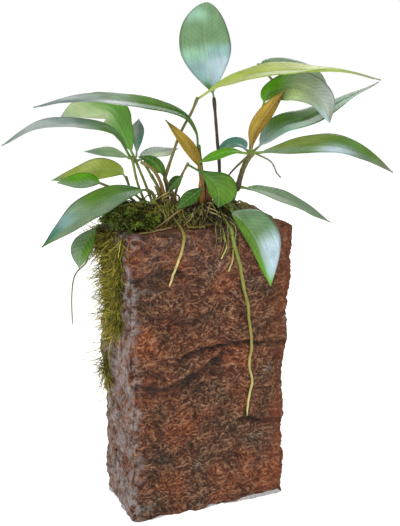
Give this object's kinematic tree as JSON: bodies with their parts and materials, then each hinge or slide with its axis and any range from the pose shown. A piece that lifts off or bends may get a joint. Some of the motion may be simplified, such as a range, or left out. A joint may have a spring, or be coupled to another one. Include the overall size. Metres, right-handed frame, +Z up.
{
  "type": "anubias on stone",
  "caption": "Aquarium plant with lance-shaped leaves on thin stalks, rooted by its rhizome on the flat top of an upright block of rough stone, with moss and hanging roots.",
  "frame": {"origin": "centre of the stone's flat base", "axes": "+Z up out of the base, +X along the stone's width to the right of its front, -Y out of its front face"},
  "size_m": [0.2024, 0.1109, 0.2671],
  "materials": {
    "stone": "rough hewn reddish-brown lava stone, matt and pitted",
    "bark": "dark brown woody rhizome, matt and ringed",
    "stalk": "olive to brown living stalk, satin",
    "leaf_green": "waxy green leaf with a satin sheen",
    "leaf_young": "pale young leaf, translucent with a waxy sheen",
    "leaf_golden": "golden-brown rolled young leaf, satin",
    "root": "olive-tan live root, satin",
    "moss": "olive moss of fine matted strands, matt"
  },
  "bodies": {
    "root": {"leaf_arch_right": "leaf_young", "leaf_back_right": "leaf_green", "leaf_blue_centre": "leaf_green", "leaf_bright_centre": "leaf_green", "leaf_broad_left": "leaf_green", "leaf_broad_right": "leaf_green", "leaf_centre_front": "leaf_green", "leaf_crown": "leaf_young", "leaf_curled_left": "leaf_green", "leaf_drooping_front": "leaf_green", "leaf_gold_left": "leaf_golden", "leaf_gold_right": "leaf_golden", "leaf_hanging_left": "leaf_green", "leaf_long_left": "leaf_green", "leaf_long_right": "leaf_green", "leaf_low_centre": "leaf_green", "leaf_low_left": "leaf_green", "leaf_low_right": "leaf_green", "leaf_mid_left_lower": "leaf_green", "leaf_mid_left_upper": "leaf_young", "leaf_pale_left": "leaf_young", "leaf_rising_right": "leaf_green", "leaf_small_centre": "leaf_green", "leaf_small_left": "leaf_green", "leaf_sweeping_left": "leaf_green", "leaf_upright_left": "leaf_green", "moss_curtain": "moss", "moss_cushion": "moss", "rhizome": "bark", "root_hanging": "root", "root_long": "root", "root_short": "root", "root_side_left": "root", "root_side_middle": "root", "root_tendril": "root", "root_top_left": "root", "root_top_right": "root", "stalk_arch_right": "stalk", "stalk_back_right": "stalk", "stalk_centre_front": "stalk", "stalk_crown": "stalk", "stalk_drooping_front": "stalk", "stalk_gold_left": "stalk", "stalk_long_left": "stalk", "stalk_low_left": "stalk", "stalk_mid_left_lower": "stalk", "stalk_mid_left_upper": "stalk", "stem_left_back": "stalk", "stem_left_front": "stalk", "stem_middle_back": "stalk", "stem_middle_front": "stalk", "stem_right_lower": "bark", "stem_right_upper": "stalk", "stone": "stone"}
  },
  "joints": []
}
